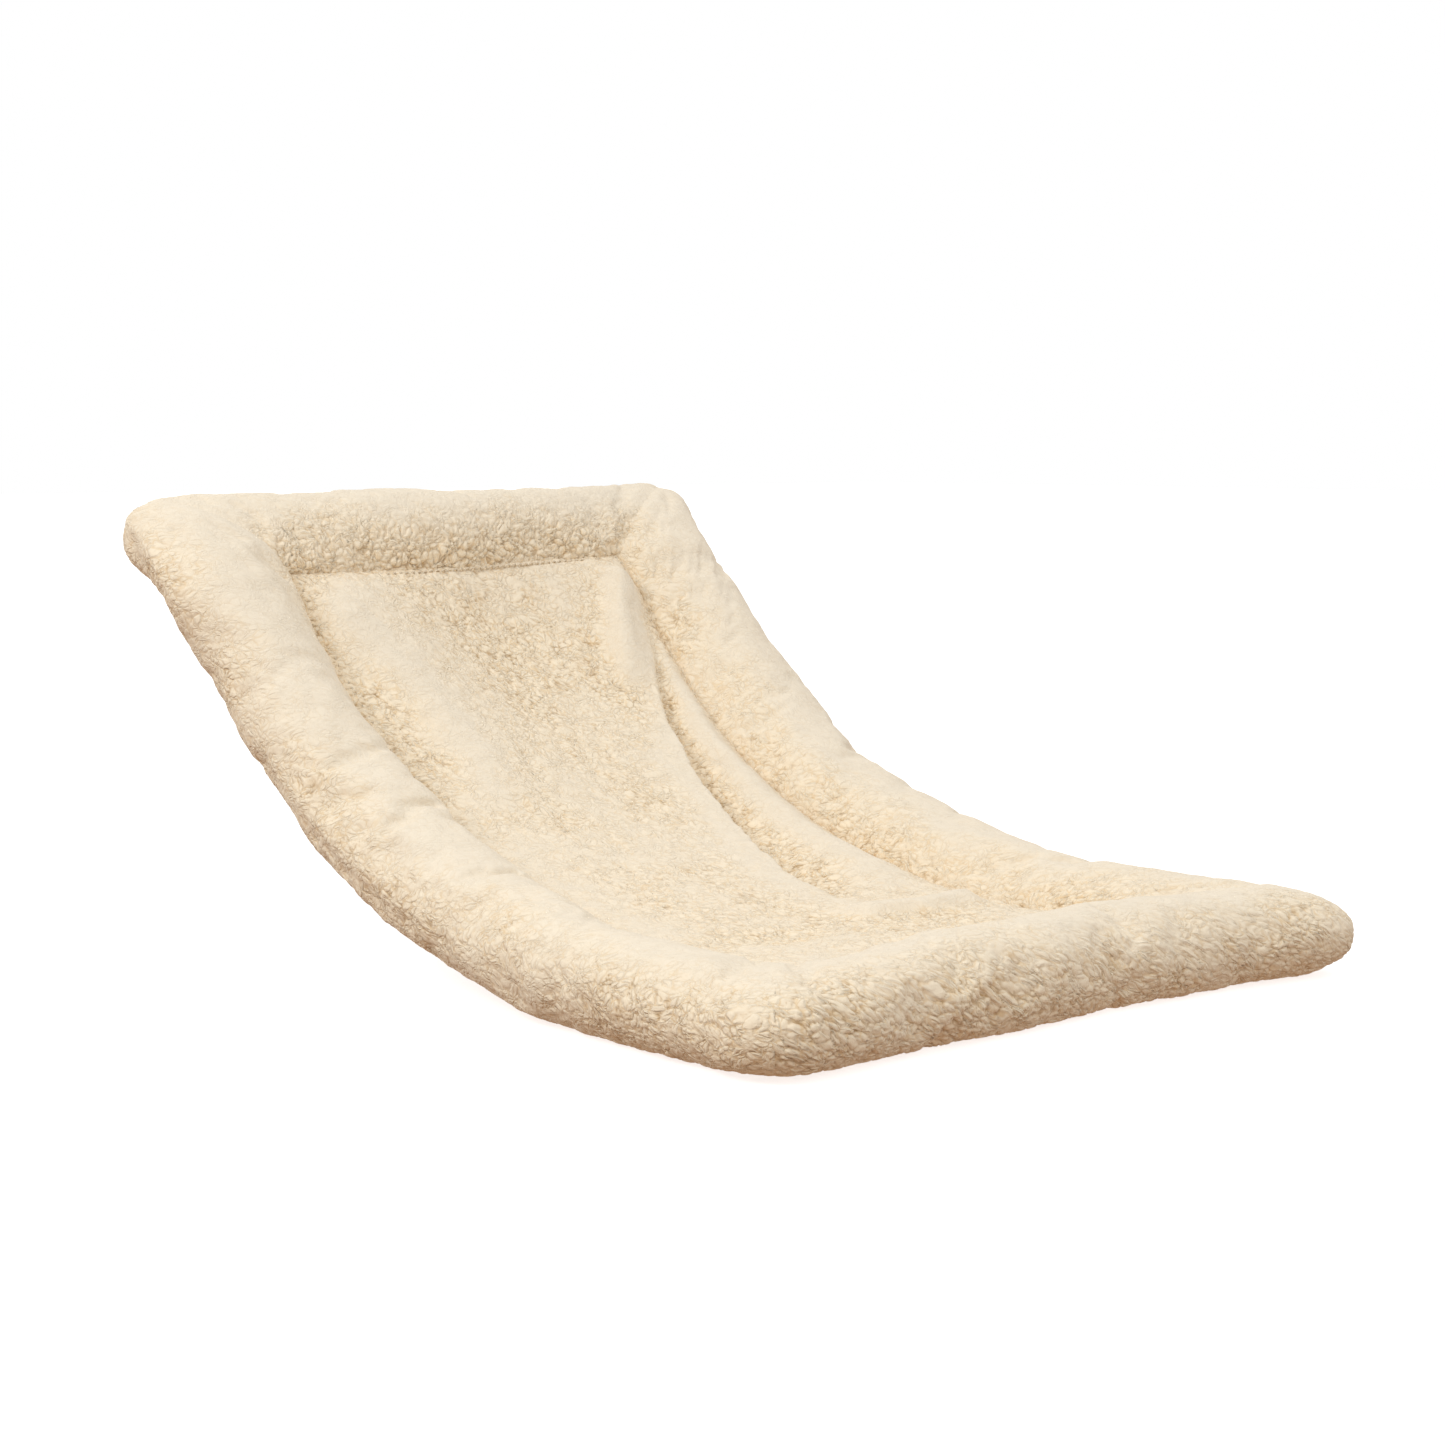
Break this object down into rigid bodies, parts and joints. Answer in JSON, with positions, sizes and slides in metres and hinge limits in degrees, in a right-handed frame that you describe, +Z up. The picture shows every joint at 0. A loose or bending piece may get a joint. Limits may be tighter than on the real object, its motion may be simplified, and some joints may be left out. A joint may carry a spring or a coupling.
{
  "type": "padded pet bed cushion",
  "caption": "Rectangular fleece pet bed cushion with a stuffed rim and a thinner sleeping panel, bent lengthwise like a chaise to lie in a curved cradle.",
  "frame": {"origin": "under the middle of the bed: bottom centre of its box, level with the flat underside of the rim", "axes": "+X across the bed, +Y from the foot end to the head end, +Z up"},
  "size_m": [0.4, 0.5594, 0.2469],
  "materials": {
    "sherpa_fleece": "curly cream lambswool-style pile",
    "base_cloth": "plain woven tan backing cloth",
    "fibre_fill": "loose white polyester fibre",
    "sewing_thread": "twisted cream sewing thread"
  },
  "bodies": {
    "root": {"head_rim_cover": "sherpa_fleece", "foot_rim_cover": "sherpa_fleece", "left_rim_cover": "sherpa_fleece", "right_rim_cover": "sherpa_fleece", "sleeping_panel": "sherpa_fleece", "base_panel": "base_cloth", "head_rim_fill": "fibre_fill", "foot_rim_fill": "fibre_fill", "left_rim_fill": "fibre_fill", "right_rim_fill": "fibre_fill", "panel_wadding": "fibre_fill", "rim_seam_thread": "sewing_thread"}
  },
  "joints": []
}
